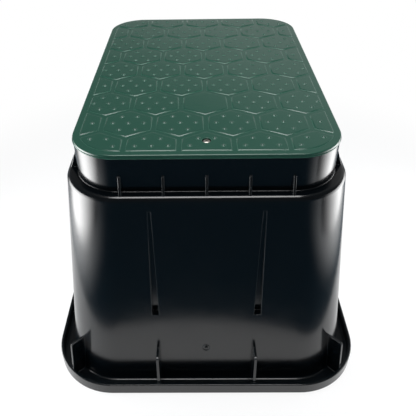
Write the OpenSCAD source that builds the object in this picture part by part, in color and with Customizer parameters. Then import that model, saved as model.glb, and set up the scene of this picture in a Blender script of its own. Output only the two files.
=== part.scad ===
// Rectangular irrigation valve box: a flared box moulding that stands on a lipped
// flange, and a lid that lies on its rim and is held by one screw at the -Y end.
// The base stands on z = 0 and its centre is the origin.

/* [Lid] */
// Width of the lid along X
lid_w = 290; // [240:1:360]
// Length of the lid along Y
lid_l = 432; // [380:1:560]
// Corner radius of the lid seen from above
lid_r = 51; // [40:1:70]
// Height of the lid's outer edge
lid_edge_h = 5.8; // [5:0.1:9]
// Thickness of the lid's plate inside its edge band
lid_plate_t = 4.2; // [3:0.1:5]
// Width of the thick edge band that lies on the rim
lid_band_w = 8; // [6.5:0.5:12]
// Rounding of the lid's top edge
lid_edge_r = 1.4; // [0.5:0.1:2]
// How far the lid overhangs the collar
lid_overhang = 1; // [0.5:0.1:2]

/* [Lid pattern] */
// Plain border between the lid's edge and the pattern
border_w = 8.8; // [6:0.1:20]
// Distance between the centres of neighbouring hexagons
hex_pitch = 57.2; // [50:0.1:75]
// Width of the groove between hexagons
hex_gap = 5.6; // [3:0.1:9]
// Height of the raised hexagons
hex_h = 1; // [0.5:0.1:1.5]
// Distance between neighbouring studs
stud_pitch = 17.3; // [12:0.1:20]
// Diameter of a stud at its foot
stud_d = 4.2; // [3:0.1:6]
// Height of a stud above its hexagon
stud_h = 1.1; // [0.6:0.1:2]

/* [Lid underside] */
// Clearance between the lid's skirt and the inside of the collar
skirt_gap = 1.2; // [0.5:0.1:3]
// Depth of the skirt below the edge band
skirt_h = 9; // [5:0.5:14]
// Thickness of the skirt and of the ribs under the lid
lid_rib_t = 3; // [2:0.1:4]
// Depth of the ribs below the edge band
lid_rib_h = 7; // [4:0.5:12]
// Number of ribs along the lid
long_ribs = 4; // [2:1:6]
// Number of ribs across the lid
cross_ribs = 6; // [4:1:8]

/* [Collar] */
// Height of the collar above the shoulder
collar_h = 39; // [34:0.5:60]
// Wall thickness of the box
wall_t = 4.5; // [3.5:0.1:5.5]
// Width of the shoulder outside the collar
shoulder_w = 12.5; // [10:0.1:18]
// Rounding of the shoulder's outer edge
shoulder_r = 3.5; // [2:0.1:5]
// Height of the small fillet at the collar's foot
collar_fillet = 1.6; // [0.8:0.1:2.4]

/* [Collar ribs] */
// Height of the ribs that brace the collar
collar_rib_h = 19.5; // [12:0.5:28]
// Thickness of a collar rib
collar_rib_t = 2.8; // [2:0.1:4]
// How far a collar rib stands out at its top
collar_rib_top = 2.2; // [1:0.1:4]
// Ribs on each short side of the collar
end_ribs = 5; // [3:1:7]
// Distance between the ribs on a short side
end_rib_pitch = 45.5; // [24:0.5:46]
// Ribs on each long side of the collar
side_ribs = 8; // [4:1:10]
// Distance between the ribs on a long side
side_rib_pitch = 46.8; // [24:0.2:47]

/* [Body] */
// Height of the shoulder above the ground
shoulder_z = 281.7; // [240:0.1:340]
// How far the foot of the wall lies outside the shoulder
wall_flare = 30; // [20:0.5:40]
// Fillet where the wall meets the flange
foot_fillet = 3; // [1:0.1:4]

/* [Flange] */
// How far the flange reaches outside the foot of the wall
flange_w = 15.3; // [13:0.1:26]
// Corner radius of the flange
flange_r = 80.5; // [70:0.5:90]
// Thickness of the flange plate
flange_t = 4.2; // [3:0.1:6]
// Height of the turned-up lip above the ground
lip_h = 17; // [12:0.5:24]
// Thickness of the lip
lip_t = 4; // [3:0.1:5]
// Rounding of the lip's edges
lip_r = 1.2; // [0.4:0.1:1.4]

/* [Gussets] */
// Thickness of the gussets between the wall and the lip
gusset_t = 4; // [3:0.1:6]
// Height of a gusset's outer edge above the ground
gusset_z = 57.5; // [40:0.5:80]
// Rise of a gusset's top towards the wall
gusset_rise = 9; // [4:0.5:16]
// How far a gusset leans in between its foot and its top
gusset_lean = 4.5; // [2:0.1:6]
// Distance from the centre line to the gussets of a short side
end_gusset_x = 62; // [48:0.5:80]
// Distance from the centre line to the gussets of a long side
side_gusset_y = 70; // [50:0.5:120]

/* [Stacking grooves] */
// Height of a groove's top end above the ground
groove_top_z = 265; // [220:1:268]
// Height of a groove's bottom end above the ground
groove_low_z = 120; // [90:1:150]
// Width of a groove at its top
groove_top_w = 3; // [2:0.1:4]
// Width of a groove at its bottom
groove_low_w = 8; // [6:0.1:11]

/* [Gate mark] */
// Height of the round gate mark on each end wall
gate_z = 69; // [60:1:100]
// Diameter of the raised ring round the gate mark
gate_d = 10; // [7:0.5:14]
// Height of that ring above the wall
gate_h = 0.7; // [0.3:0.1:1.2]
// Diameter of the stub left inside the ring
gate_stub_d = 4; // [2:0.1:5]

/* [Screw] */
// Distance from the screw to the lid's short edge
screw_inset = 28.4; // [26:0.1:34]
// Diameter of the screw's head
head_d = 9; // [8:0.1:11]
// Height of the screw's head
head_h = 3; // [2.5:0.1:3.4]
// Diameter of the screw's shank
shank_d = 4.8; // [4:0.1:5.4]
// Length of the screw below its head
screw_l = 34; // [30:0.5:38]
// Width and reach of the cross recess in the head
drive_d = 4.6; // [3.6:0.1:5]
// Width of the cross recess's arms
drive_w = 1.1; // [0.8:0.1:1.3]
// Depth of the cross recess
drive_h = 1.8; // [1.2:0.1:2]
// Clearance round the head in the lid's recess
head_gap = 1.5; // [0.8:0.1:2.2]
// Clearance round the shank in the lid and in the tab
shank_gap = 0.6; // [0.4:0.1:1]
// Depth of the head's top below the lid's plain surface
head_sink = 0.4; // [0.1:0.1:1]
// Wall of the screw boss under the lid
boss_t = 3.2; // [2.5:0.1:4]

/* [Screw tab and clip] */
// Depth of the tab's top below the collar's rim
tab_drop = 18; // [16:0.5:24]
// Thickness of the tab that the clip sits on
tab_t = 4; // [3:0.1:5]
// Width of the tab
tab_w = 44; // [36:0.5:60]
// How far the tab reaches past the screw
tab_reach = 9; // [7:0.5:12]
// Depth of the webs that carry the tab
tab_web_h = 26; // [18:0.5:34]
// Gap between the lid's screw boss and the clip
boss_gap = 0.6; // [0.3:0.1:1.5]
// Sheet thickness of the clip
clip_t = 0.9; // [0.6:0.1:1.2]
// Width of the clip
clip_w = 16; // [12:0.5:20]
// How far the clip reaches past the screw towards the wall
clip_back = 8; // [6:0.5:10]
// Outer diameter of the clip's threaded barrel
barrel_d = 8; // [7.4:0.1:9]
// Length of the clip's threaded barrel
barrel_h = 4; // [3:0.1:6]
// Clearance of the shank in the barrel and of the clip on the tab's edge
thread_gap = 0.1; // [0.05:0.05:0.2]

/* [Hidden] */
$fn = 72;
arc_steps = 5;
// Overrun of cuts past the faces that they open
eps = 0.5;

// Centres of the corner arcs, the same for the lid, the collar and the wall
corner_x = lid_w / 2 - lid_r;
corner_y = lid_l / 2 - lid_r;
// Radii from those centres
collar_ro = lid_r - lid_overhang;
collar_ri = collar_ro - wall_t;
shoulder_ro = collar_ro + shoulder_w;
foot_ro = shoulder_ro + wall_flare;
// Radius gained by the wall for each millimetre that it drops
wall_slope = wall_flare / shoulder_z;
// Distance across the sloping wall, measured level
wall_level_t = wall_t * sqrt(1 + wall_slope * wall_slope);
// Heights
rim_z = shoulder_z + collar_h;
lid_z = rim_z + lid_edge_h;
// Flange outline and its own corner centres
flange_x = corner_x + foot_ro + flange_w;
flange_y = corner_y + foot_ro + flange_w;
flange_cx = flange_x - flange_r;
flange_cy = flange_y - flange_r;
// Screw axis and what stands on it
screw_y = -(lid_l / 2 - screw_inset);
recess_r = head_d / 2 + head_gap;
recess_h = head_h + head_sink;
head_seat_z = lid_z - recess_h;
hole_r = shank_d / 2 + shank_gap;
tab_z = rim_z - tab_drop;
tab_edge_y = screw_y + tab_reach;
boss_r = recess_r + boss_t;
boss_z = tab_z + clip_t + boss_gap;

function wall_r(z) = foot_ro - wall_slope * z;
function arc(cx, cy, r, a0, a1) =
    [for (i = [0:arc_steps]) let (a = a0 + (a1 - a0) * i / arc_steps) [cx + r * cos(a), cy + r * sin(a)]];

// Sweeps a profile round a rectangle of corner centres. In the profile, x is the
// distance outwards from those centres and y is the height.
module sweep_round(cx, cy) {
    for (side = [0, 1]) rotate(180 * side) {
        translate([-cx, cy, 0]) rotate([90, 0, 90]) linear_extrude(2 * cx) children();
        translate([cx, cy, 0]) rotate([90, 0, 0]) linear_extrude(2 * cy) children();
        translate([cx, cy, 0]) rotate_extrude(angle = 90) children();
        translate([-cx, cy, 0]) rotate(90) rotate_extrude(angle = 90) children();
    }
}

// Flat rectangle with corners of radius r round the given corner centres
module round_rect(cx, cy, r) {
    square([2 * (cx + r), 2 * cy], center = true);
    square([2 * cx, 2 * (cy + r)], center = true);
    for (sx = [-1, 1], sy = [-1, 1]) translate([sx * cx, sy * cy]) circle(r);
}

// Outline of the collar, the shoulder and the wall, cut through
module wall_profile() {
    shoulder_in = wall_r(shoulder_z - wall_t) - wall_level_t;
    polygon(concat(
        [[collar_ri, rim_z], [collar_ro, rim_z]],
        arc(collar_ro + collar_fillet, shoulder_z + collar_fillet, collar_fillet, 180, 270),
        arc(wall_r(shoulder_z - shoulder_r) - shoulder_r, shoulder_z - shoulder_r, shoulder_r, 90, 0),
        [[wall_r(flange_t + foot_fillet), flange_t + foot_fillet]],
        [[foot_ro + foot_fillet, flange_t], [foot_ro + foot_fillet, 0]],
        [[foot_ro - wall_level_t, 0], [shoulder_in, shoulder_z - wall_t], [collar_ri, shoulder_z - wall_t]]
    ));
}

// Flange plate round the foot of the wall
module flange_plate() {
    linear_extrude(flange_t) difference() {
        round_rect(flange_cx, flange_cy, flange_r - lip_t / 2);
        round_rect(corner_x, corner_y, foot_ro - wall_level_t / 2);
    }
}

// Turned-up lip at the flange's edge, cut through
module lip_profile() {
    polygon(concat(
        [[flange_r - lip_t, 0], [flange_r, 0]],
        arc(flange_r - lip_r, lip_h - lip_r, lip_r, 0, 90),
        arc(flange_r - lip_t + lip_r, lip_h - lip_r, lip_r, 90, 180)
    ));
}

// Copies its children to both short sides, which face -Y and +Y
module each_end() {
    for (side = [0, 1]) rotate(180 * side) children();
}

// One rib between the collar and the shoulder, leaning towards +X from x = 0
module collar_rib() {
    foot = shoulder_w - shoulder_r;
    rotate([90, 0, 0]) translate([0, 0, -collar_rib_t / 2]) linear_extrude(collar_rib_t)
        polygon([
            [-wall_t / 2, shoulder_z - wall_t / 2],
            [foot, shoulder_z - wall_t / 2],
            [foot, shoulder_z],
            [collar_rib_top, shoulder_z + collar_rib_h],
            [-wall_t / 2, shoulder_z + collar_rib_h]
        ]);
}

module collar_ribs() {
    for (side = [0, 1]) rotate(180 * side) {
        for (i = [0:end_ribs - 1])
            translate([(i - (end_ribs - 1) / 2) * end_rib_pitch, corner_y + collar_ro, 0])
                rotate(90) collar_rib();
        for (i = [0:side_ribs - 1])
            translate([corner_x + collar_ro, (i - (side_ribs - 1) / 2) * side_rib_pitch, 0])
                collar_rib();
    }
}

// One gusset from the wall, whose outer face is at x = wall_r(z), to the lip at x = reach
module gusset(reach) {
    inner = lip_t / 2;
    rotate([90, 0, 0]) translate([0, 0, -gusset_t / 2]) linear_extrude(gusset_t)
        polygon([
            [wall_r(0) - inner, 0],
            [reach, 0],
            [reach, lip_h - lip_r],
            [reach - gusset_lean, gusset_z],
            [wall_r(gusset_z + gusset_rise), gusset_z + gusset_rise],
            [wall_r(gusset_z + gusset_rise) - inner, gusset_z + gusset_rise]
        ]);
}

module gussets() {
    straight_reach = foot_ro + flange_w - lip_t / 2;
    corner_reach = norm([flange_cx - corner_x, flange_cy - corner_y]) + flange_r - lip_t / 2;
    for (side = [0, 1]) rotate(180 * side) {
        for (sx = [-1, 1]) translate([sx * end_gusset_x, corner_y, 0]) rotate(90) gusset(straight_reach);
        for (sy = [-1, 1]) translate([corner_x, sy * side_gusset_y, 0]) gusset(straight_reach);
        translate([corner_x, corner_y, 0]) rotate(45) gusset(corner_reach);
        translate([-corner_x, corner_y, 0]) rotate(135) gusset(corner_reach);
    }
}

// Wedge whose back is upright at depth back, seen from the -Y end. It widens from
// the top to the bottom and grows by more on its back, sides and ends.
module groove_wedge(more) {
    back_y = -(corner_y + wall_r(groove_top_z)) + more;
    low = groove_low_z - more;
    top = groove_top_z + more;
    front_y = -(corner_y + foot_ro);
    intersection() {
        translate([0, front_y, 0]) cube_between(low, top, back_y - front_y, groove_low_w + 2 * more);
        translate([0, back_y + eps, 0]) rotate([90, 0, 0]) linear_extrude(back_y - front_y + 2 * eps)
            polygon([
                [-groove_low_w / 2 - more, low], [groove_low_w / 2 + more, low],
                [groove_top_w / 2 + more, top], [-groove_top_w / 2 - more, top]
            ]);
    }
}

// Box between two heights, as deep as depth from y = 0 and as wide as width
module cube_between(low, top, depth, width) {
    translate([-width / 2, 0, low]) cube([width, depth, top - low]);
}

// Everything outside the wall's outer face, near one groove
module outside_of_wall() {
    half = groove_low_w / 2 + 2 * wall_t;
    translate([half, 0, 0]) rotate([90, 0, -90]) linear_extrude(2 * half)
        polygon([
            [corner_y + foot_ro, 0],
            [corner_y + wall_r(shoulder_z), shoulder_z],
            [corner_y + foot_ro + 2 * wall_t, shoulder_z],
            [corner_y + foot_ro + 2 * wall_t, 0]
        ]);
}

module groove_backs() {
    each_end() for (sx = [-1, 1]) translate([sx * end_gusset_x, 0, 0]) difference() {
        groove_wedge(wall_t);
        outside_of_wall();
    }
}

module groove_cuts() {
    each_end() for (sx = [-1, 1]) translate([sx * end_gusset_x, 0, 0]) groove_wedge(0);
}

// Ring and stub left by the mould's gate on each end wall
module gate_marks() {
    tilt = atan(wall_slope);
    each_end() translate([0, -(corner_y + wall_r(gate_z)), gate_z]) rotate([90 - tilt, 0, 0]) {
        translate([0, 0, -wall_t / 2]) linear_extrude(wall_t / 2 + gate_h) difference() {
            circle(d = gate_d);
            circle(d = gate_d - 2 * gate_h);
        }
        translate([0, 0, -wall_t / 2]) cylinder(d = gate_stub_d, h = wall_t / 2 + 2 * gate_h);
    }
}

// Tab inside the -Y end that carries the clip, with two webs down to the shoulder
module screw_tab() {
    wall_y = -(corner_y + collar_ri);
    reach = tab_edge_y - wall_y;
    web_x = tab_w / 2 - lid_rib_t / 2;
    difference() {
        translate([-tab_w / 2, wall_y - wall_t / 2, tab_z - tab_t])
            cube([tab_w, reach + wall_t / 2, tab_t]);
        translate([0, screw_y, tab_z - tab_t - eps]) cylinder(r = hole_r, h = tab_t + 2 * eps);
    }
    for (sx = [-1, 1]) translate([sx * web_x - lid_rib_t / 2, wall_y, tab_z - tab_t / 2])
        rotate([90, 0, 90]) linear_extrude(lid_rib_t)
            polygon([[-wall_t / 2, 0], [reach, 0], [reach, -tab_t], [0, -tab_web_h], [-wall_t / 2, -tab_web_h]]);
}

module box_body() {
    color([0.03, 0.035, 0.04]) {
        difference() {
            union() {
                sweep_round(corner_x, corner_y) wall_profile();
                flange_plate();
                sweep_round(flange_cx, flange_cy) lip_profile();
                collar_ribs();
                gussets();
                groove_backs();
            }
            groove_cuts();
        }
        gate_marks();
        screw_tab();
    }
}

// Edge band of the lid, cut through, with the rounded top edge
module lid_edge_profile() {
    polygon(concat(
        [[lid_r - lid_band_w, rim_z], [lid_r, rim_z]],
        arc(lid_r - lid_edge_r, lid_z - lid_edge_r, lid_edge_r, 0, 90),
        [[lid_r - lid_band_w, lid_z]]
    ));
}

module skirt_profile() {
    outer = collar_ri - skirt_gap;
    translate([outer - lid_rib_t, rim_z - skirt_h]) square([lid_rib_t, skirt_h + lid_edge_h / 2]);
}

// Centre of a hexagon. Even rows have one on the centre line, odd rows lie between.
function hex_centre(row, i) =
    [(i + (row % 2 == 0 ? 0 : 0.5)) * hex_pitch, row * hex_pitch * sqrt(3) / 2];

// Studs of one hexagon, in rows of two, three and two
stud_places = [for (row = [-1:1], i = [-1:1])
    if (row == 0 || i < 1) [(i + (row == 0 ? 0 : 0.5)) * stud_pitch, row * stud_pitch * sqrt(3) / 2]];

hex_rows = floor((lid_l / 2 - border_w) / (hex_pitch * sqrt(3) / 2) + 0.5);
hex_cols = ceil(lid_w / 2 / hex_pitch + 0.5);
hex_places = [for (row = [-hex_rows:hex_rows], i = [-hex_cols:hex_cols]) hex_centre(row, i)];

// Whether a point lies inside the pattern's rounded outline, a margin from its edge
function in_pattern(p, margin) =
    let (r = lid_r - border_w - margin, dx = abs(p.x) - corner_x, dy = abs(p.y) - corner_y)
    dx <= r && dy <= r && (dx <= 0 || dy <= 0 || norm([dx, dy]) <= r);

// Places kept bare: the hexagon next to the screw's, and the screw's own recess
function is_bare(c, p) =
    (abs(c.x) < 1 && abs(c.y + 2 * hex_pitch * sqrt(3) / 2) < 1) || norm([p.x, p.y - screw_y]) < recess_r + 2;

module hex_plates() {
    translate([0, 0, lid_z - lid_plate_t / 2]) linear_extrude(lid_plate_t / 2 + hex_h) intersection() {
        round_rect(corner_x, corner_y, lid_r - border_w);
        for (c = hex_places) translate(c) rotate(30) circle(d = (hex_pitch - hex_gap) / cos(30), $fn = 6);
    }
}

// Domed studs: caps of spheres that are sunk in the hexagons
module studs() {
    dome_r = (stud_d * stud_d / 4 + stud_h * stud_h) / (2 * stud_h);
    for (c = hex_places, s = stud_places) let (p = c + s)
        if (in_pattern(p, stud_d / 2) && !is_bare(c, p))
            translate([p.x, p.y, lid_z + hex_h + stud_h - dome_r]) sphere(dome_r);
}

// Ribs under the lid, in both directions, inside the skirt
module lid_ribs() {
    half_x = corner_x + collar_ri - skirt_gap - lid_rib_t / 2;
    half_y = corner_y + collar_ri - skirt_gap - lid_rib_t / 2;
    top = lid_z - lid_plate_t / 2;
    low = rim_z - lid_rib_h;
    intersection() {
        translate([0, 0, low]) linear_extrude(top - low)
            round_rect(corner_x, corner_y, collar_ri - skirt_gap - lid_rib_t / 2);
        union() {
            for (i = [1:long_ribs]) translate([(i / (long_ribs + 1) * 2 - 1) * half_x - lid_rib_t / 2, -half_y, low])
                cube([lid_rib_t, 2 * half_y, top - low]);
            for (i = [1:cross_ribs]) translate([-half_x, (i / (cross_ribs + 1) * 2 - 1) * half_y - lid_rib_t / 2, low])
                cube([2 * half_x, lid_rib_t, top - low]);
        }
    }
}

module lid() {
    color([0.07, 0.26, 0.2]) difference() {
        union() {
            sweep_round(corner_x, corner_y) lid_edge_profile();
            translate([0, 0, lid_z - lid_plate_t]) linear_extrude(lid_plate_t)
                round_rect(corner_x, corner_y, lid_r - lid_band_w / 2);
            sweep_round(corner_x, corner_y) skirt_profile();
            lid_ribs();
            hex_plates();
            studs();
            translate([0, screw_y, boss_z]) cylinder(r = boss_r, h = lid_z - lid_plate_t / 2 - boss_z);
        }
        translate([0, screw_y, head_seat_z]) cylinder(r = recess_r, h = recess_h + hex_h + eps);
        translate([0, screw_y, boss_z - eps]) cylinder(r = hole_r, h = head_seat_z - boss_z + 2 * eps);
    }
}

// Pan head screw with a cross recess, its head down in the lid's recess
module lid_screw() {
    dome = head_h * 0.45;
    color([0.75, 0.75, 0.73]) translate([0, screw_y, head_seat_z]) difference() {
        union() {
            rotate_extrude() polygon(concat(
                [[0, 0], [head_d / 2, 0], [head_d / 2, head_h - dome]],
                [for (i = [1:arc_steps]) let (a = 90 * i / arc_steps)
                    [head_d / 2 * cos(a), head_h - dome + dome * sin(a)]]
            ));
            translate([0, 0, shank_d / 2 - screw_l]) cylinder(d = shank_d, h = screw_l - shank_d / 2 + eps);
            translate([0, 0, -screw_l]) cylinder(d1 = shank_d / 2, d2 = shank_d, h = shank_d / 2);
        }
        for (a = [0, 90]) rotate(a) translate([-drive_d / 2, -drive_w / 2, head_h - drive_h])
            cube([drive_d, drive_w, drive_h + eps]);
    }
}

// Folded sheet clip pushed over the tab's edge, with a threaded barrel below
module screw_clip() {
    leaf = tab_reach + clip_back + thread_gap;
    color([0.7, 0.68, 0.62]) translate([0, screw_y, 0]) difference() {
        union() {
            for (z = [tab_z, tab_z - tab_t - clip_t])
                translate([-clip_w / 2, -clip_back, z]) cube([clip_w, leaf, clip_t]);
            translate([-clip_w / 2, tab_reach + thread_gap, tab_z - tab_t - clip_t])
                cube([clip_w, clip_t, tab_t + 2 * clip_t]);
            translate([0, 0, tab_z - tab_t - barrel_h]) cylinder(d = barrel_d, h = barrel_h);
        }
        translate([0, 0, tab_z - eps]) cylinder(r = hole_r, h = clip_t + 2 * eps);
        translate([0, 0, tab_z - tab_t - barrel_h - eps])
            cylinder(r = shank_d / 2 + thread_gap, h = barrel_h + 2 * eps);
    }
}

box_body();
lid();
lid_screw();
screw_clip();
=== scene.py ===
import math

import bmesh
import bpy
from mathutils import Matrix, Vector


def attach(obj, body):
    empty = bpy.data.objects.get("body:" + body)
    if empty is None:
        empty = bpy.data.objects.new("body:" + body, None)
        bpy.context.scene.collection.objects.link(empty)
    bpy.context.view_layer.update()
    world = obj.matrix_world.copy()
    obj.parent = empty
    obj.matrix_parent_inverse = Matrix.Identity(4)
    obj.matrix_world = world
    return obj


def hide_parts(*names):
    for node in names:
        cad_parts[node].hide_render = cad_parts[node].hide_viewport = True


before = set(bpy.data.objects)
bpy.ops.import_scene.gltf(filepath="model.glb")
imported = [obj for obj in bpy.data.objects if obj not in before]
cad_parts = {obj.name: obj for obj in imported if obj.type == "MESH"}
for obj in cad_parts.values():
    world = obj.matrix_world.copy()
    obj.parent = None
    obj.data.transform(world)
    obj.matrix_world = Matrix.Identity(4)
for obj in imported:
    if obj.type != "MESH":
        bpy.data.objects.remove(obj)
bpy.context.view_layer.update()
print("frame loaded:", sorted(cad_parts))


def linearColour(hexText, alpha=1.0):
    # sRGB hex to the linear values that the shaders use
    parts = [int(hexText[i:i + 2], 16) / 255 for i in (0, 2, 4)]
    return [v / 12.92 if v <= 0.04045 else ((v + 0.055) / 1.055) ** 2.4 for v in parts] + [alpha]


def perMetre(millimetres):
    # texture scale whose features have this size
    return 1000.0 / millimetres


def addNode(tree, kind, values=None, links=None, **settings):
    node = tree.nodes.new(kind)
    for name, value in settings.items():
        setattr(node, name, value)
    for key, value in (values or {}).items():
        node.inputs[key].default_value = value
    for key, source in (links or {}).items():
        tree.links.new(source, node.inputs[key])
    return node


def newMaterial(name):
    material = bpy.data.materials.new(name)
    material.use_nodes = True
    tree = material.node_tree
    tree.nodes.clear()
    shader = addNode(tree, "ShaderNodeBsdfPrincipled")
    addNode(tree, "ShaderNodeOutputMaterial", links={"Surface": shader.outputs["BSDF"]})
    return material, tree, shader


def newObject(name, mesh):
    piece = bpy.data.objects.new(name, mesh)
    bpy.context.scene.collection.objects.link(piece)
    return piece


# Meshes are drawn in millimetres and turned to metres when the object is made
def arc(centre, height, radius, start, end, steps=6):
    # points of a profile as distance outwards and height
    turns = [math.radians(start + (end - start) * i / steps) for i in range(steps + 1)]
    return [(centre + radius * math.cos(t), height + radius * math.sin(t)) for t in turns]


def roundedRing(halfX, halfY, radius, z, steps=20):
    points = []
    for quarter, (sx, sy) in enumerate(((1, 1), (-1, 1), (-1, -1), (1, -1))):
        for i in range(steps + 1):
            turn = math.pi / 2 * (quarter + i / steps)
            points.append((sx * (halfX - radius) + radius * math.cos(turn),
                           sy * (halfY - radius) + radius * math.sin(turn), z))
    return points


def circleRing(x, y, radius, z, steps=24):
    turns = [2 * math.pi * i / steps for i in range(steps)]
    return [(x + radius * math.cos(t), y + radius * math.sin(t), z) for t in turns]


def loft(bm, rings, closed=False):
    # skin over rings with the same number of points, with end caps or closed on itself
    rows = [[bm.verts.new(point) for point in ring] for ring in rings]
    for low, high in zip(rows, rows[1:] + rows[:1] if closed else rows[1:]):
        for i in range(len(low)):
            j = (i + 1) % len(low)
            bm.faces.new((low[i], low[j], high[j], high[i]))
    if not closed:
        bm.faces.new(rows[0][::-1])
        bm.faces.new(rows[-1])


def inset(outline, by):
    # the same outline with each side moved inwards
    moved = []
    for i, p in enumerate(outline):
        before, here, after = Vector(outline[i - 1]), Vector(p), Vector(outline[(i + 1) % len(outline)])
        one, two = (here - before).normalized(), (after - here).normalized()
        first, second = Vector((-one.y, one.x)), Vector((-two.y, two.x))
        moved.append(here + (first + second) * by / (1 + first.dot(second)))
    return moved


def plate(bm, outline, thickness, turn=Matrix(), draft=0.0, edge=0.35):
    # upright plate in the XZ plane with eased edges, thinner upwards by draft for each millimetre
    rows = []
    small = inset(outline, edge)
    for side, back, shape in ((-1, 0, small), (-1, edge, outline), (1, edge, outline), (1, 0, small)):
        rows.append([turn @ Vector((x, side * (thickness / 2 - back - draft * z), z)) for x, z in shape])
    loft(bm, rows)


def block(bm, low, high):
    centre = [(a + b) / 2 for a, b in zip(low, high)]
    size = [b - a for a, b in zip(low, high)]
    bmesh.ops.create_cube(bm, size=1, matrix=Matrix.Translation(centre) @ Matrix.Diagonal((*size, 1)))


def meshFrom(name, draw):
    bm = bmesh.new()
    draw(bm)
    bmesh.ops.recalc_face_normals(bm, faces=bm.faces)
    mesh = bpy.data.meshes.new(name)
    bm.to_mesh(mesh)
    bm.free()
    return mesh


def carved(name, base, steps):
    # joins or cuts one drawn shape after another, each made of parts that don't touch
    piece = newObject(name, meshFrom(name, base))
    for operation, draw in steps:
        tool = newObject("tool", meshFrom("tool", draw))
        cut = piece.modifiers.new("cut", "BOOLEAN")
        cut.operation, cut.solver, cut.object = operation, "MANIFOLD", tool
        done = bpy.data.meshes.new_from_object(piece.evaluated_get(bpy.context.evaluated_depsgraph_get()))
        piece.modifiers.clear()
        bpy.data.meshes.remove(tool.data)
        piece.data = done
    done.transform(Matrix.Scale(0.001, 4))
    bm = bmesh.new()
    bm.from_mesh(done)
    bmesh.ops.remove_doubles(bm, verts=bm.verts, dist=1e-6)
    bmesh.ops.dissolve_degenerate(bm, edges=bm.edges, dist=1e-6)
    bm.to_mesh(done)
    bm.free()
    done.shade_smooth()
    done.set_sharp_from_angle(angle=math.radians(32))
    flat = piece.modifiers.new("flat", "WEIGHTED_NORMAL")
    flat.keep_sharp = True
    print(name, "drawn,", len(done.polygons), "faces")
    return piece


# Camera, fitted to the lid's edges, its studs and the base's outline
cameraValues = {
    "place": (-0.0097, -0.6533, 0.5965),
    "yaw": -0.885,      # degrees, towards +X
    "pitch": 37.56,     # degrees, downwards
    "roll": -0.943,
    "lens": 44.23,      # mm on a 36 mm sensor
    "shiftX": 0.0399,
}


def buildCamera(values):
    yaw, pitch, roll = (math.radians(values[k]) for k in ("yaw", "pitch", "roll"))
    forward = Vector((math.sin(yaw) * math.cos(pitch), math.cos(yaw) * math.cos(pitch), -math.sin(pitch)))
    level = Vector((math.cos(yaw), -math.sin(yaw), 0))
    upward = level.cross(forward)
    right = level * math.cos(roll) + upward * math.sin(roll)
    top = upward * math.cos(roll) - level * math.sin(roll)
    camera = bpy.data.objects.new("camera", bpy.data.cameras.new("camera"))
    bpy.context.scene.collection.objects.link(camera)
    turn = Matrix((right, top, -forward)).transposed().to_4x4()
    camera.matrix_world = Matrix.Translation(values["place"]) @ turn
    camera.data.sensor_width = 36
    camera.data.lens = values["lens"]
    camera.data.shift_x = values["shiftX"]
    camera.data.clip_start, camera.data.clip_end = 0.01, 30
    bpy.context.scene.camera = camera


buildCamera(cameraValues)
print("camera placed")


# Studio: white floor, white background, a lamp above, a soft light low on each side,
# and dark cards that show only in the gloss, like the dark end of a studio
studioValues = {
    "floorColour": "f1f4f7",
    "floorRadius": 4.0,
    "litRadius": 0.75,              # the floor shows its own light and shadow up to here
    "nearWhite": 0.85,              # share of plain white in it, so that the shadow stays faint
    "clothColour": "0b141a",
    # painted light: extra glow of the cloth near the side lights
    "paintedLightOnCloth": 2.5,
    "poolCentre": (-0.02, -0.081),  # white floor seen in the lower end wall
    "poolRadius": 0.296,
    "poolWiden": 1.2,
    "topLamp": {"place": (0.0, -0.1, 1.55), "size": (0.85, 0.85), "watts": 17.5},
    "sideLights": [
        {"name": "leftLight", "x": -0.50, "y": -0.20, "width": 0.70, "height": 0.34, "strength": 10.5},
        {"name": "rightLight", "x": 0.52, "y": -0.08, "width": 0.72, "height": 0.34, "strength": 7.0},
    ],
    "roomStrength": (0.07, 0.12, 0.31),  # in front, behind, and what its brighter low back adds
}


def onlyInGloss(piece):
    piece.visible_camera = False
    piece.visible_diffuse = False
    piece.visible_shadow = False
    piece.visible_transmission = False


def whiteForCamera(tree):
    # 1 for the rays that shall see the white background
    path = addNode(tree, "ShaderNodeLightPath")
    first = addNode(tree, "ShaderNodeMath", operation="MAXIMUM",
                    links={0: path.outputs["Is Camera Ray"], 1: path.outputs["Is Glossy Ray"]})
    return addNode(tree, "ShaderNodeMath", operation="MAXIMUM",
                   links={0: first.outputs[0], 1: path.outputs["Is Transmission Ray"]}).outputs[0]


def buildFloor(values):
    bm = bmesh.new()
    bmesh.ops.create_circle(bm, cap_ends=True, segments=96, radius=values["floorRadius"])
    mesh = bpy.data.meshes.new("floor")
    bm.to_mesh(mesh)
    bm.free()
    floor = newObject("floor", mesh)
    material, tree, shader = newMaterial("whitePaper")
    shader.inputs["Base Color"].default_value = linearColour(values["floorColour"])
    shader.inputs["Roughness"].default_value = 0.9
    shader.inputs["Specular IOR Level"].default_value = 0.1
    place = addNode(tree, "ShaderNodeTexCoord")
    reach = addNode(tree, "ShaderNodeVectorMath", operation="LENGTH", links={0: place.outputs["Object"]})
    far = addNode(tree, "ShaderNodeMapRange", interpolation_type="SMOOTHSTEP",
                  values={"From Min": values["litRadius"] * 0.6, "From Max": values["litRadius"],
                          "To Min": values["nearWhite"]},
                  links={"Value": reach.outputs["Value"]})
    seen = addNode(tree, "ShaderNodeMath", operation="MULTIPLY",
                   links={0: far.outputs["Result"], 1: whiteForCamera(tree)})
    plainWhite = addNode(tree, "ShaderNodeEmission", values={"Strength": 1.0})
    mixed = addNode(tree, "ShaderNodeMixShader",
                    links={0: seen.outputs[0], 1: shader.outputs["BSDF"], 2: plainWhite.outputs[0]})
    tree.links.new(mixed.outputs[0], tree.nodes["Material Output"].inputs["Surface"])
    mesh.materials.append(material)


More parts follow.
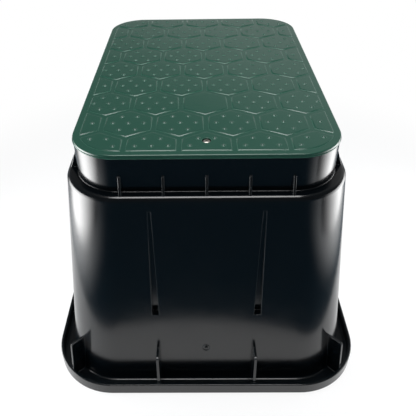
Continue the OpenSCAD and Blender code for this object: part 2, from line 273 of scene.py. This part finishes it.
def buildCloth(values):
    # dark cloth round the white pool: a ring, pushed back behind the box
    bm = bmesh.new()
    bmesh.ops.create_circle(bm, segments=96, radius=values["poolRadius"])
    bmesh.ops.scale(bm, vec=(values["poolWiden"], 1, 1), verts=bm.verts)
    inner = bm.edges[:]
    outer = bmesh.ops.extrude_edge_only(bm, edges=inner)["geom"]
    rim = [v for v in outer if isinstance(v, bmesh.types.BMVert)]
    bmesh.ops.scale(bm, vec=(12, 12, 1), verts=rim)
    backHalf = [v for v in bm.verts if v.co.y > 0 and v not in rim]
    bmesh.ops.translate(bm, vec=(0, 0.3, 0), verts=backHalf)
    bmesh.ops.translate(bm, vec=(*values["poolCentre"], 0.001), verts=bm.verts)
    mesh = bpy.data.meshes.new("darkCloth")
    bm.to_mesh(mesh)
    bm.free()
    cloth = newObject("darkCloth", mesh)
    material, tree, shader = newMaterial("darkCloth")
    glow = addNode(tree, "ShaderNodeEmission",
                   values={"Color": linearColour(values["clothColour"]), "Strength": 10.0})
    # painted light: the cloth glows brighter at the feet of the side lights, standing in for their light on it
    place = addNode(tree, "ShaderNodeTexCoord").outputs["Object"]
    parts = addNode(tree, "ShaderNodeSeparateXYZ", links={0: place})
    shifted = addNode(tree, "ShaderNodeMath", operation="ADD", values={1: -0.02}, links={0: parts.outputs["X"]})
    outwards = addNode(tree, "ShaderNodeMath", operation="ABSOLUTE", links={0: shifted.outputs[0]})
    paintedLightNearLamps = addNode(tree, "ShaderNodeMapRange", interpolation_type="SMOOTHSTEP",
                        values={"From Min": 0.32, "From Max": 0.54, "To Max": values["paintedLightOnCloth"]},
                        links={"Value": outwards.outputs[0]})
    along = addNode(tree, "ShaderNodeMath", operation="ADD", values={1: 0.2}, links={0: parts.outputs["Y"]})
    apart = addNode(tree, "ShaderNodeMath", operation="ABSOLUTE", links={0: along.outputs[0]})
    beside = addNode(tree, "ShaderNodeMapRange", interpolation_type="SMOOTHSTEP",
                     values={"From Min": 0.55, "From Max": 0.0}, links={"Value": apart.outputs[0]})
    share = addNode(tree, "ShaderNodeMath", operation="MULTIPLY",
                    links={0: paintedLightNearLamps.outputs["Result"], 1: beside.outputs["Result"]})
    more = addNode(tree, "ShaderNodeEmission", links={"Strength": share.outputs[0]})
    both = addNode(tree, "ShaderNodeAddShader", links={0: glow.outputs[0], 1: more.outputs[0]})
    tree.links.new(both.outputs[0], tree.nodes["Material Output"].inputs["Surface"])
    mesh.materials.append(material)
    onlyInGloss(cloth)


def buildRoom(values):
    bm = bmesh.new()
    bmesh.ops.create_uvsphere(bm, u_segments=48, v_segments=24, radius=6.0)
    mesh = bpy.data.meshes.new("greyRoom")
    bm.to_mesh(mesh)
    bm.free()
    room = newObject("greyRoom", mesh)
    material, tree, shader = newMaterial("greyWall")
    front, back, more = values["roomStrength"]
    place = addNode(tree, "ShaderNodeTexCoord").outputs["Object"]
    way = addNode(tree, "ShaderNodeVectorMath", operation="NORMALIZE", links={0: place})
    parts = addNode(tree, "ShaderNodeSeparateXYZ", links={0: way.outputs[0]})
    behind = addNode(tree, "ShaderNodeMapRange", interpolation_type="SMOOTHSTEP",
                     values={"From Min": -0.2, "From Max": 0.5, "To Min": front, "To Max": back},
                     links={"Value": parts.outputs["Y"]})
    lowRight = addNode(tree, "ShaderNodeMath", operation="MULTIPLY_ADD", values={1: -0.6},
                       links={0: parts.outputs["X"], 2: parts.outputs["Z"]})
    extra = addNode(tree, "ShaderNodeMapRange", interpolation_type="SMOOTHSTEP",
                    values={"From Min": 0.5, "From Max": 0.34, "To Max": more},
                    links={"Value": lowRight.outputs[0]})
    inBack = addNode(tree, "ShaderNodeMapRange", interpolation_type="SMOOTHSTEP",
                     values={"From Min": 0.1, "From Max": 0.6}, links={"Value": parts.outputs["Y"]})
    total = addNode(tree, "ShaderNodeMath", operation="MULTIPLY_ADD",
                    links={0: extra.outputs["Result"], 1: inBack.outputs["Result"], 2: behind.outputs["Result"]})
    low = addNode(tree, "ShaderNodeMapRange", interpolation_type="SMOOTHSTEP",
                  values={"From Min": 0.3, "From Max": 0.05, "To Max": 0.45}, links={"Value": parts.outputs["Z"]})
    horizon = addNode(tree, "ShaderNodeMath", operation="MULTIPLY_ADD",
                      links={0: low.outputs["Result"], 1: inBack.outputs["Result"], 2: total.outputs[0]})
    glow = addNode(tree, "ShaderNodeEmission", links={"Strength": horizon.outputs[0]})
    tree.links.new(glow.outputs[0], tree.nodes["Material Output"].inputs["Surface"])
    mesh.materials.append(material)
    onlyInGloss(room)


def buildSideLight(values):
    # soft light whose brightness fades towards its edges
    bm = bmesh.new()
    bmesh.ops.create_grid(bm, x_segments=1, y_segments=1, size=0.5)
    bmesh.ops.scale(bm, vec=(values["height"], values["width"], 1), verts=bm.verts)
    side = 1 if values["x"] > 0 else -1
    bmesh.ops.rotate(bm, cent=(0, 0, 0), matrix=Matrix.Rotation(math.radians(-90 * side), 3, "Y"), verts=bm.verts)
    bmesh.ops.translate(bm, vec=(values["x"], values["y"], values["height"] / 2 + 0.002), verts=bm.verts)
    mesh = bpy.data.meshes.new(values["name"])
    bm.to_mesh(mesh)
    bm.free()
    light = newObject(values["name"], mesh)
    material, tree, shader = newMaterial(values["name"])
    place = addNode(tree, "ShaderNodeTexCoord")
    parts = addNode(tree, "ShaderNodeSeparateXYZ", links={0: place.outputs["Object"]})
    across = addNode(tree, "ShaderNodeMath", operation="SUBTRACT", values={1: values["y"]},
                     links={0: parts.outputs["Y"]})
    fromMiddle = addNode(tree, "ShaderNodeMath", operation="ABSOLUTE", links={0: across.outputs[0]})
    sideFade = addNode(tree, "ShaderNodeMapRange", interpolation_type="SMOOTHSTEP",
                       values={"From Min": values["width"] * 0.5, "From Max": 0.0},
                       links={"Value": fromMiddle.outputs[0]})
    lowFade = addNode(tree, "ShaderNodeMapRange", interpolation_type="SMOOTHSTEP",
                      values={"From Min": -0.03, "From Max": 0.035, "To Min": 0.02},
                      links={"Value": parts.outputs["Z"]})
    both = addNode(tree, "ShaderNodeMath", operation="MULTIPLY",
                   links={0: sideFade.outputs["Result"], 1: lowFade.outputs["Result"]})
    power = addNode(tree, "ShaderNodeMath", operation="MULTIPLY", values={1: values["strength"]},
                    links={0: both.outputs[0]})
    glow = addNode(tree, "ShaderNodeEmission", links={"Strength": power.outputs[0]})
    tree.links.new(glow.outputs[0], tree.nodes["Material Output"].inputs["Surface"])
    mesh.materials.append(material)
    light.visible_camera = False
    light.visible_shadow = False


def buildTopLamp(values):
    lamp = bpy.data.lights.new("topLamp", "AREA")
    lamp.shape = "RECTANGLE"
    lamp.size, lamp.size_y = values["size"]
    lamp.energy = values["watts"]
    holder = bpy.data.objects.new("topLamp", lamp)
    bpy.context.scene.collection.objects.link(holder)
    holder.location = values["place"]
    holder.visible_camera = False


def buildWorld():
    world = bpy.data.worlds.new("studio")
    bpy.context.scene.world = world
    world.use_nodes = True
    tree = world.node_tree
    tree.nodes.clear()
    level = addNode(tree, "ShaderNodeMapRange", values={"To Min": 0.25, "To Max": 1.0},
                    links={"Value": whiteForCamera(tree)})
    sky = addNode(tree, "ShaderNodeBackground", links={"Strength": level.outputs["Result"]})
    addNode(tree, "ShaderNodeOutputWorld", links={"Surface": sky.outputs[0]})


buildFloor(studioValues)
buildCloth(studioValues)
buildRoom(studioValues)
for lightValues in studioValues["sideLights"]:
    buildSideLight(lightValues)
buildTopLamp(studioValues["topLamp"])
buildWorld()
bpy.context.scene.view_settings.view_transform = "Standard"
print("studio built")


# Black polyethylene, injection moulded in a polished mould: deep gloss with a faint
# orange peel, dull hair scratches, and edges that are rounded by the mould, with a painted highlight that makes them
# paler
blackValues = {
    "colour": "04090d",
    "scuffColour": "14191d",
    # painted highlight: the paler colour along the edges
    "paintedHighlightColour": "30363a",
    "roughness": (0.15, 0.21),
    "ior": 1.54,
    "edgeRadius": 0.0006,
    "peelSize": 1.6,       # mm, width of the orange peel's waves
    "peelHeight": 0.004,   # mm
    "waveSize": 60.0,      # mm, slow waves of the shrunk wall
    "waveHeight": 0.03,    # mm
    "scratchSize": 0.35,   # mm, drawn coarser than real so that it shows
}


def mouldedPlastic(name, values):
    material, tree, shader = newMaterial(name)
    place = addNode(tree, "ShaderNodeTexCoord").outputs["Object"]
    patches = addNode(tree, "ShaderNodeTexNoise", values={"Scale": perMetre(35), "Detail": 4.0, "Roughness": 0.6},
                      links={"Vector": place})
    peel = addNode(tree, "ShaderNodeTexNoise",
                   values={"Scale": perMetre(values["peelSize"]), "Detail": 2.0}, links={"Vector": place})
    waves = addNode(tree, "ShaderNodeTexNoise",
                    values={"Scale": perMetre(values["waveSize"]), "Detail": 1.0}, links={"Vector": place})
    # scratches: a stretched noise in which only the peaks count
    stretched = addNode(tree, "ShaderNodeMapping", values={"Scale": (1.0, 0.06, 0.12), "Rotation": (0.3, 0.5, 0.7)},
                        links={"Vector": place})
    hairs = addNode(tree, "ShaderNodeTexNoise",
                    values={"Scale": perMetre(values["scratchSize"]), "Detail": 3.0}, links={"Vector": stretched.outputs[0]})
    scratch = addNode(tree, "ShaderNodeMapRange", values={"From Min": 0.68, "From Max": 0.78},
                      links={"Value": hairs.outputs["Fac"]})
    worn = addNode(tree, "ShaderNodeMapRange", values={"From Min": 0.5, "From Max": 0.75},
                   links={"Value": patches.outputs["Fac"]})
    scuffs = addNode(tree, "ShaderNodeMath", operation="MULTIPLY",
                     links={0: scratch.outputs["Result"], 1: worn.outputs["Result"]})
    softEdge = addNode(tree, "ShaderNodeBevel", samples=6, values={"Radius": values["edgeRadius"]})
    waveBump = addNode(tree, "ShaderNodeBump",
                       values={"Strength": 1.0, "Distance": values["waveHeight"] / 1000},
                       links={"Height": waves.outputs["Fac"], "Normal": softEdge.outputs[0]})
    peelBump = addNode(tree, "ShaderNodeBump",
                       values={"Strength": 1.0, "Distance": values["peelHeight"] / 1000},
                       links={"Height": peel.outputs["Fac"], "Normal": waveBump.outputs[0]})
    colour = addNode(tree, "ShaderNodeMix", data_type="RGBA",
                     links={0: scuffs.outputs[0]})
    colour.inputs[6].default_value = linearColour(values["colour"])
    colour.inputs[7].default_value = linearColour(values["scuffColour"])
    # painted highlight: paler along edges, where the softened normal turns away from the true one
    flatWay = addNode(tree, "ShaderNodeNewGeometry")
    agree = addNode(tree, "ShaderNodeVectorMath", operation="DOT_PRODUCT",
                    links={0: softEdge.outputs[0], 1: flatWay.outputs["Normal"]})
    paintedHighlightMask = addNode(tree, "ShaderNodeMapRange", values={"From Min": 0.999, "From Max": 0.96},
                     links={"Value": agree.outputs["Value"]})
    withPaintedHighlight = addNode(tree, "ShaderNodeMix", data_type="RGBA",
                    links={0: paintedHighlightMask.outputs["Result"], 6: colour.outputs[2]})
    withPaintedHighlight.inputs[7].default_value = linearColour(values["paintedHighlightColour"])
    low, high = values["roughness"]
    gloss = addNode(tree, "ShaderNodeMapRange",
                    values={"From Min": 0.3, "From Max": 0.7, "To Min": low, "To Max": high},
                    links={"Value": patches.outputs["Fac"]})
    dulled = addNode(tree, "ShaderNodeMath", operation="MULTIPLY_ADD", values={1: 0.15},
                     links={0: scuffs.outputs[0], 2: gloss.outputs["Result"]})
    tree.links.new(withPaintedHighlight.outputs[2], shader.inputs["Base Color"])
    tree.links.new(dulled.outputs[0], shader.inputs["Roughness"])
    tree.links.new(peelBump.outputs[0], shader.inputs["Normal"])
    shader.inputs["IOR"].default_value = values["ior"]
    return material


# Green polyethylene lid, moulded in a finely grained mould: satin, evenly coloured
# apart from a painted highlight along its edges, with soft highlights on the domed studs
greenValues = {
    "colour": "204b3e",
    "scuffColour": "2f594c",
    # painted highlight: the paler colour along the edges
    "paintedHighlightColour": "4c7a6a",
    "roughness": (0.21, 0.26),
    "ior": 1.54,
    "edgeRadius": 0.0006,
    "peelSize": 1.2,
    "peelHeight": 0.006,
    "waveSize": 45.0,
    "waveHeight": 0.04,
    "scratchSize": 0.35,
}

# Stainless steel, cold headed and tumbled: bright grey with a dull grain
steelValues = {"colour": "bdb9b2", "roughness": 0.34, "grain": 0.6}

# Zinc plated spring steel, stamped: slightly yellow grey
zincValues = {"colour": "b9b6ac", "roughness": 0.38, "grain": 2.5}


def plainMetal(name, values):
    material, tree, shader = newMaterial(name)
    place = addNode(tree, "ShaderNodeTexCoord").outputs["Object"]
    grain = addNode(tree, "ShaderNodeTexNoise", values={"Scale": perMetre(values["grain"]), "Detail": 4.0},
                    links={"Vector": place})
    gloss = addNode(tree, "ShaderNodeMapRange",
                    values={"To Min": values["roughness"] - 0.08, "To Max": values["roughness"] + 0.08},
                    links={"Value": grain.outputs["Fac"]})
    softEdge = addNode(tree, "ShaderNodeBevel", samples=4, values={"Radius": 0.00015})
    bump = addNode(tree, "ShaderNodeBump", values={"Strength": 0.6, "Distance": 0.00001},
                   links={"Height": grain.outputs["Fac"], "Normal": softEdge.outputs[0]})
    shader.inputs["Base Color"].default_value = linearColour(values["colour"])
    shader.inputs["Metallic"].default_value = 1.0
    tree.links.new(gloss.outputs["Result"], shader.inputs["Roughness"])
    tree.links.new(bump.outputs[0], shader.inputs["Normal"])
    return material


# Box body in millimetres, as the photo shows it: walls that lean out evenly, with corners of
# nearly the same radius all the way down, over a flat flange with a turned-up lip
bodyValues = {
    "cornerX": 94.0, "cornerY": 165.0,   # centres of the collar's corners
    "collarRadii": (45.5, 50.0),
    "rimZ": 321.7,
    "collarFillet": 1.0,
    "shoulderZ": 281.7, "shoulderRound": 6.0,
    "topX": 156.5, "topY": 227.5,        # half sizes at the shoulder
    "flareX": 27.5, "flareY": 25.6,      # how far the foot lies outside them
    "wallRadii": (63.0, 66.0),           # corner radius at the shoulder and at the foot
    "wall": 4.52,                        # thickness, measured level
    "footFillet": 3.5,
    "flangeX": 201.8, "flangeY": 272.8, "flangeRadius": 80.5,
    "flangeZ": 4.2,
    "lipZ": 17.0, "lip": 4.0, "lipRound": 1.2,
    "collarRib": {"thick": 2.8, "foot": 9.0, "top": 2.2, "high": 19.5},
    "endRibs": (5, 45.5), "sideRibs": (8, 46.8),    # count and pitch
    "gusset": {"thick": 3.9, "draft": 0.006, "z": 61.0, "cut": 3.0, "lean": 4.4, "endX": 61.3, "sideY": 70.0},
    "groove": {"topZ": 265.0, "lowZ": 117.0, "topWidth": 3.0, "lowWidth": 8.0, "x": 61.5,
               "topDeep": 0.7, "lowDeep": 8.6, "edge": 0.5},
    "gate": {"z": 61.0, "ring": 5.0, "stub": 2.0, "high": 0.7},
    "tab": {"z": 302.7, "thick": 4.0, "halfWidth": 22.0, "edgeY": -178.6, "hole": 3.0, "web": 3.0, "webZ": 276.0},
    "screwY": -187.6,
}


def wallAt(values, z, inwards=0.0):
    # half sizes and corner radius of the wall at a height
    drop = 1 - z / values["shoulderZ"]
    top, foot = values["wallRadii"]
    return (values["topX"] + values["flareX"] * drop - inwards, values["topY"] + values["flareY"] * drop - inwards,
            top + (foot - top) * drop - inwards)


def around(x, y, profile):
    # rings round a rectangle of corner centres
    return [roundedRing(x + out, y + out, out, z) for out, z in profile]


def bodyShell(bm, v=bodyValues):
    inner, outer = v["collarRadii"]
    edge = v["shoulderZ"] - v["shoulderRound"]
    reach = wallAt(v, edge)[0] - v["cornerX"] - v["shoulderRound"]
    fillet, foot = v["collarFillet"], v["footFillet"]
    rings = around(v["cornerX"], v["cornerY"],
                   [(inner, v["rimZ"]), (outer, v["rimZ"])]
                   + arc(outer + fillet, v["shoulderZ"] + fillet, fillet, 180, 270)
                   + arc(reach, edge, v["shoulderRound"], 90, 0, 10))
    start = v["flangeZ"] + foot
    rings += [roundedRing(*wallAt(v, z), z) for z in (edge - 6, edge - 15, 200, 120, 60, start)]
    halfX, halfY, radius = wallAt(v, start)
    rings += around(halfX - radius, halfY - radius, arc(radius + foot, start, foot, 180, 270)[1:])
    lipIn, lipRound = v["flangeRadius"] - v["lip"], v["lipRound"]
    rings += around(v["flangeX"] - v["flangeRadius"], v["flangeY"] - v["flangeRadius"],
                    arc(lipIn - 1.0, v["flangeZ"] + 1.0, 1.0, 270, 360)
                    + arc(lipIn + lipRound, v["lipZ"] - lipRound, lipRound, 180, 90)
                    + arc(v["flangeRadius"] - lipRound, v["lipZ"] - lipRound, lipRound, 90, 0)
                    + [(v["flangeRadius"], 0.6), (v["flangeRadius"] - 0.6, 0)])
    under = v["shoulderZ"] - v["wall"]
    rings += [roundedRing(*wallAt(v, z, v["wall"]), z) for z in (0, under)]
    rings += around(v["cornerX"], v["cornerY"], [(inner, under)])
    loft(bm, rings, closed=True)


def turned(degrees, x=0.0, y=0.0):
    return Matrix.Rotation(math.radians(degrees), 4, "Z") @ Matrix.Translation((x, y, 0))


def bodyRibs(bm, v=bodyValues):
    rib, gusset = v["collarRib"], v["gusset"]
    low, sunk = v["shoulderZ"] - 2, -2.0
    outline = [(sunk, low), (rib["foot"], low), (rib["foot"], v["shoulderZ"] - 0.3),
               (rib["top"], v["shoulderZ"] + rib["high"]), (sunk, v["shoulderZ"] + rib["high"])]
    lip = v["flangeRadius"] - v["lip"] / 2
    for turn, reach, flare, half, flange, (count, pitch) in (
            (0, v["topX"], v["flareX"], v["cornerX"], v["flangeX"], v["sideRibs"]),
            (90, v["topY"], v["flareY"], v["cornerY"], v["flangeY"], v["endRibs"])):
        for side in (0, 180):
            for i in range(count):
                place = turned(turn + side, half + v["collarRadii"][1], (i - (count - 1) / 2) * pitch)
                plate(bm, outline, rib["thick"], place)
            for sign in (-1, 1):
                place = turned(turn + side, 0, sign * (gusset["sideY"] if turn == 0 else gusset["endX"]))
                plate(bm, gussetOutline(v, reach + flare, flare, flange - v["lip"] / 2), gusset["thick"],
                      place, gusset["draft"])
    halfX, halfY, radius = wallAt(v, 0)
    footX, footY = halfX - radius, halfY - radius
    for sx, sy, turn in ((1, 1, 45), (-1, 1, 135), (-1, -1, 225), (1, -1, 315)):
        place = Matrix.Translation((sx * footX, sy * footY, 0)) @ turned(turn)
        apart = math.hypot(v["flangeX"] - v["flangeRadius"] - footX, v["flangeY"] - v["flangeRadius"] - footY)
        plate(bm, gussetOutline(v, radius, (v["flareX"] + v["flareY"]) * 0.7071, apart + lip),
              gusset["thick"], place, gusset["draft"])


def gussetOutline(v, foot, flare, reach):
    gusset, sunk = v["gusset"], v["wall"] / 2
    slope = flare / v["shoulderZ"]
    top = reach - v["lip"] / 2 - gusset["lean"]
    return [(foot - sunk, 1), (reach, 1), (reach, v["lipZ"] - v["lip"] / 2), (reach - v["lip"] / 2, v["lipZ"]),
            (top, gusset["z"] - gusset["cut"]), (top - gusset["cut"] * 0.35, gusset["z"] - gusset["cut"] * 0.35),
            (top - gusset["cut"], gusset["z"]), (foot - slope * gusset["z"] - sunk, gusset["z"])]


def grooveWedge(bm, backing, v=bodyValues):
    # wedge with a nearly upright back and eased edges at each groove, or the wall behind it
    groove = v["groove"]
    more = v["wall"] if backing else 0.0
    for end in (0, 180):
        for sign in (-1, 1):
            rows = []
            for z, width, deep in ((groove["lowZ"] - more, groove["lowWidth"], groove["lowDeep"]),
                                   (groove["topZ"] + more, groove["topWidth"], groove["topDeep"])):
                face = wallAt(v, z)[1]
                half, edge = width / 2 + more, 0 if backing else groove["edge"]
                out = -more / 2 if backing else 5.0
                back = face - deep - more
                mouth = face - edge
                flare = 0 if backing else edge + out
                row = [(-half - flare, -face - out), (half + flare, -face - out), (half, -mouth + more / 2),
                       (half, -back), (-half, -back), (-half, -mouth + more / 2)]
                rows.append([turned(end, sign * groove["x"]) @ Vector((x, y, z)) for x, y in row])
            loft(bm, rows)


def gateMarks(bm, v=bodyValues):
    gate = v["gate"]
    lean = math.degrees(math.atan(v["flareY"] / v["shoulderZ"]))
    for end in (0, 180):
        place = (turned(end, 0, -wallAt(v, gate["z"])[1]) @ Matrix.Translation((0, 0, gate["z"]))
                 @ Matrix.Rotation(math.radians(90 - lean), 4, "X"))
        ring = [circleRing(0, 0, r, z) for r, z in (
            (gate["ring"], -1), (gate["ring"], gate["high"]),
            (gate["ring"] - gate["high"], gate["high"]), (gate["ring"] - gate["high"], -1))]
        loft(bm, [[place @ Vector(p) for p in row] for row in ring], closed=True)
        stub = [circleRing(0, 0, r, z) for r, z in ((gate["stub"], -1), (gate["stub"], 1.2), (gate["stub"] - 0.5, 1.5))]
        loft(bm, [[place @ Vector(p) for p in row] for row in stub])


def screwTab(bm, v=bodyValues):
    tab = v["tab"]
    wallY = -(v["cornerY"] + v["collarRadii"][0]) - 2
    block(bm, (-tab["halfWidth"], wallY, tab["z"] - tab["thick"]), (tab["halfWidth"], tab["edgeY"], tab["z"]))


def tabWebs(bm, v=bodyValues):
    tab = v["tab"]
    wallY = v["cornerY"] + v["collarRadii"][0]
    under = tab["z"] - tab["thick"] / 2
    for sign in (-1, 1):
        place = turned(-90, 0, sign * (tab["halfWidth"] - tab["web"] / 2))
        plate(bm, [(-tab["edgeY"], under), (wallY + 2, under), (wallY + 2, tab["webZ"]), (wallY, tab["webZ"]),
                   (-tab["edgeY"], under - tab["thick"])], tab["web"], place)


def tabHole(bm, v=bodyValues):
    tab = v["tab"]
    loft(bm, [circleRing(0, v["screwY"], tab["hole"], tab["z"] + lift) for lift in (-6, 2)])


body = carved("boxBodyMoulding", bodyShell, [
    ("UNION", bodyRibs),
    ("UNION", lambda bm: grooveWedge(bm, True)),
    ("DIFFERENCE", lambda bm: grooveWedge(bm, False)),
    ("UNION", gateMarks),
    ("UNION", screwTab),
    ("UNION", tabWebs),
    ("DIFFERENCE", tabHole),
])

# Lid in millimetres: rounded top edge, a bead round its foot, raised hexagons with soft
# edges and domed studs, and below it the skirt, the ribs and the boss for the screw
lidValues = {
    "cornerX": 94.0, "cornerY": 165.0, "radius": 51.0,
    "rimZ": 321.7, "topZ": 326.5, "underZ": 322.6,
    "bandRadius": 43.0,
    "edgeRound": 1.5, "beadRound": 1.0,
    "border": 8.8, "pitch": 57.2, "gap": 5.6,
    "plateProfile": ((0.0, -0.4), (0.0, 0.03), (0.3, 0.34), (0.7, 0.6), (1.15, 0.77), (1.8, 0.88)),
    "studPitch": 17.3,
    "studProfile": ((2.6, 0.3), (2.6, 0.82), (2.26, 1.19), (1.86, 1.51), (1.42, 1.77), (0.95, 1.96), (0.45, 2.07)),
    "recess": ((5.0, -2.1), (5.0, 0.6), (5.3, 0.95), (5.9, 1.6)),
    "boss": 8.2, "bossZ": 304.8, "hole": 3.0,
    "skirt": (41.3, 44.3), "skirtZ": 312.7, "ribZ": 314.7, "rib": 3.0,
    "longRibs": 4, "crossRibs": 6,
}


def lidBase(bm, v=lidValues):
    out, bead, edge = v["radius"], v["beadRound"], v["edgeRound"]
    face = out - 0.6
    profile = ([(v["bandRadius"], v["underZ"]), (v["bandRadius"], v["rimZ"])]
               + arc(out - bead, v["rimZ"] + bead, bead, -90, 60)
               + [(face, v["rimZ"] + 2 * bead + 0.2)]
               + arc(face - edge, v["topZ"] - edge, edge, 0, 90))
    loft(bm, around(v["cornerX"], v["cornerY"], profile))


def clipped(outline, border):
    # part of one convex outline that lies inside another
    for a, b in zip(border, border[1:] + border[:1]):
        kept = []
        sides = [(b[0] - a[0]) * (p[1] - a[1]) - (b[1] - a[1]) * (p[0] - a[0]) for p in outline]
        for i, p in enumerate(outline):
            q, here, there = outline[i - 1], sides[i], sides[i - 1]
            if (here >= 0) != (there >= 0):
                t = there / (there - here)
                kept.append((q[0] + (p[0] - q[0]) * t, q[1] + (p[1] - q[1]) * t))
            if here >= 0:
                kept.append(p)
        outline = kept
        if len(outline) < 3:
            return []
    return outline


def hexagonCentres(v=lidValues):
    rise = v["pitch"] * math.sqrt(3) / 2
    return [((i + 0.5 * (row % 2)) * v["pitch"], row * rise) for row in range(-4, 5) for i in range(-4, 5)]


def hexagonPlates(bm, v=lidValues):
    rim = v["radius"] - v["border"]
    border = [p[:2] for p in roundedRing(v["cornerX"] + rim, v["cornerY"] + rim, rim, 0)]
    corner = (v["pitch"] - v["gap"]) / math.sqrt(3)
    for x, y in hexagonCentres():
        turns = [math.radians(30 + 60 * i) for i in range(6)]
        shape = clipped([(x + corner * math.cos(t), y + corner * math.sin(t)) for t in turns], border)
        shape = [p for i, p in enumerate(shape) if math.dist(p, shape[i - 1]) > 0.6]
        area = sum(a[0] * b[1] - b[0] * a[1] for a, b in zip(shape, shape[1:] + shape[:1])) / 2
        if area > 40:
            loft(bm, [[(*p, v["topZ"] + lift) for p in inset(shape, by)] for by, lift in v["plateProfile"]])


def studs(bm, v=lidValues):
    rim = v["radius"] - v["border"] - 4.0
    for x, y in hexagonCentres():
        bare = abs(x) < 1 and abs(y + v["pitch"] * math.sqrt(3)) < 1
        for row in (-1, 0, 1):
            for i in (-1, 0, 1) if row == 0 else (-0.5, 0.5):
                sx, sy = x + i * v["studPitch"], y + row * v["studPitch"] * math.sqrt(3) / 2
                dx, dy = max(abs(sx) - v["cornerX"], 0), max(abs(sy) - v["cornerY"], 0)
                nearScrew = abs(sx) < 6 and abs(sy - bodyValues["screwY"]) < 12
                if math.hypot(dx, dy) <= rim and not bare and not nearScrew:
                    loft(bm, [circleRing(sx, sy, r, v["topZ"] + lift, 16) for r, lift in v["studProfile"]])


def lidSkirt(bm, v=lidValues):
    inner, outer = v["skirt"]
    top = v["underZ"] + 1
    loft(bm, around(v["cornerX"], v["cornerY"],
                    [(inner, top), (outer, top), (outer, v["skirtZ"]), (inner, v["skirtZ"])]), closed=True)


def ribGrid(bm, along, v=lidValues):
    reach = (v["skirt"][0] + v["skirt"][1]) / 2
    halfX, halfY, half = v["cornerX"] + reach, v["cornerY"] + reach, v["rib"] / 2
    count = v["longRibs"] if along else v["crossRibs"]
    for i in range(1, count + 1):
        at = (i / (count + 1) * 2 - 1) * (halfX if along else halfY)
        low, high = ((at - half, -halfY), (at + half, halfY)) if along else ((-halfX, at - half), (halfX, at + half))
        block(bm, (*low, v["ribZ"]), (*high, v["underZ"] + 1))


def lidBoss(bm, v=lidValues):
    loft(bm, [circleRing(0, bodyValues["screwY"], v["boss"], z, 48) for z in (v["bossZ"], v["underZ"] + 1)])


def lidRecess(bm, v=lidValues):
    loft(bm, [circleRing(0, bodyValues["screwY"], r, v["topZ"] + lift, 48) for r, lift in v["recess"]])


def lidHole(bm, v=lidValues):
    loft(bm, [circleRing(0, bodyValues["screwY"], v["hole"], z, 32) for z in (v["bossZ"] - 2, v["topZ"])])


lid = carved("lidMoulding", lidBase, [
    ("UNION", lidSkirt),
    ("UNION", lambda bm: ribGrid(bm, True)),
    ("UNION", lambda bm: ribGrid(bm, False)),
    ("UNION", lidBoss),
    ("UNION", hexagonPlates),
    ("UNION", studs),
    ("DIFFERENCE", lidRecess),
    ("DIFFERENCE", lidHole),
])

# Pan head screw in millimetres, with a rolled thread and a cross recess
screwValues = {
    "seatZ": 324.4, "headRadius": 4.0, "headHigh": 2.5, "headRound": 0.9,
    "radius": 2.4, "core": 1.85, "pitch": 1.5, "length": 34.0, "plain": 2.0,
    "cross": 5.2, "crossWidth": 1.3, "crossDeep": 1.8,
}


def screwForm(bm, v=screwValues):
    turns, steps = 40, 8
    rings = []
    count = int(v["length"] / v["pitch"] * steps)
    for k in range(count + 1):
        depth = v["length"] * (1 - k / count)
        taper = min(1.0, (v["length"] - depth) / 5 + 0.12)
        ring = []
        for i in range(turns):
            phase = (depth / v["pitch"] + i / turns) % 1
            crest = max(0.0, 1 - abs(phase - 0.5) * 3.2) if depth > v["plain"] else 0.5
            radius = (v["core"] + (v["radius"] - v["core"]) * crest) * taper
            angle = 2 * math.pi * i / turns
            ring.append((radius * math.cos(angle), bodyValues["screwY"] + radius * math.sin(angle), v["seatZ"] - depth))
        rings.append(ring)
    side = v["headHigh"] - v["headRound"]
    head = [(v["headRadius"] - 0.15, 0.02), (v["headRadius"], 0.2), (v["headRadius"], side)]
    for i in range(1, 8):
        angle = math.radians(86 * i / 7)
        head.append((v["headRadius"] * math.cos(angle), side + v["headRound"] * math.sin(angle)))
    rings += [circleRing(0, bodyValues["screwY"], r, v["seatZ"] + z, turns) for r, z in head]
    loft(bm, rings)


def crossCut(bm, along, v=screwValues):
    half, wide = v["cross"] / 2, v["crossWidth"] / 2
    top = v["seatZ"] + v["headHigh"]
    rows = []
    for z, share in ((top - v["crossDeep"], 0.45), (top + 0.5, 1.0)):
        x, y = (half * share, wide) if along else (wide, half * share)
        rows.append([(sx * x, bodyValues["screwY"] + sy * y, z) for sx, sy in ((-1, -1), (1, -1), (1, 1), (-1, 1))])
    loft(bm, rows)


screw = carved("lidScrewThreaded", screwForm, [
    ("DIFFERENCE", lambda bm: crossCut(bm, True)),
    ("DIFFERENCE", lambda bm: crossCut(bm, False)),
])

finishes = {
    "box_body": (body, mouldedPlastic("mouldedBlackPolyethylene", blackValues), "body_plastic"),
    "lid": (lid, mouldedPlastic("mouldedGreenPolyethylene", greenValues), "lid_plastic"),
    "lid_screw": (screw, plainMetal("stainlessSteel", steelValues), "screw_steel"),
}
for name, (piece, finish, slot) in finishes.items():
    piece.data.materials.clear()
    piece.data.materials.append(finish)
    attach(piece, "root")
    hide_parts(name)
zinc = plainMetal("zincPlatedSpringSteel", zincValues)
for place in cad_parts["screw_clip"].material_slots:
    place.material = zinc
print("finishes set")
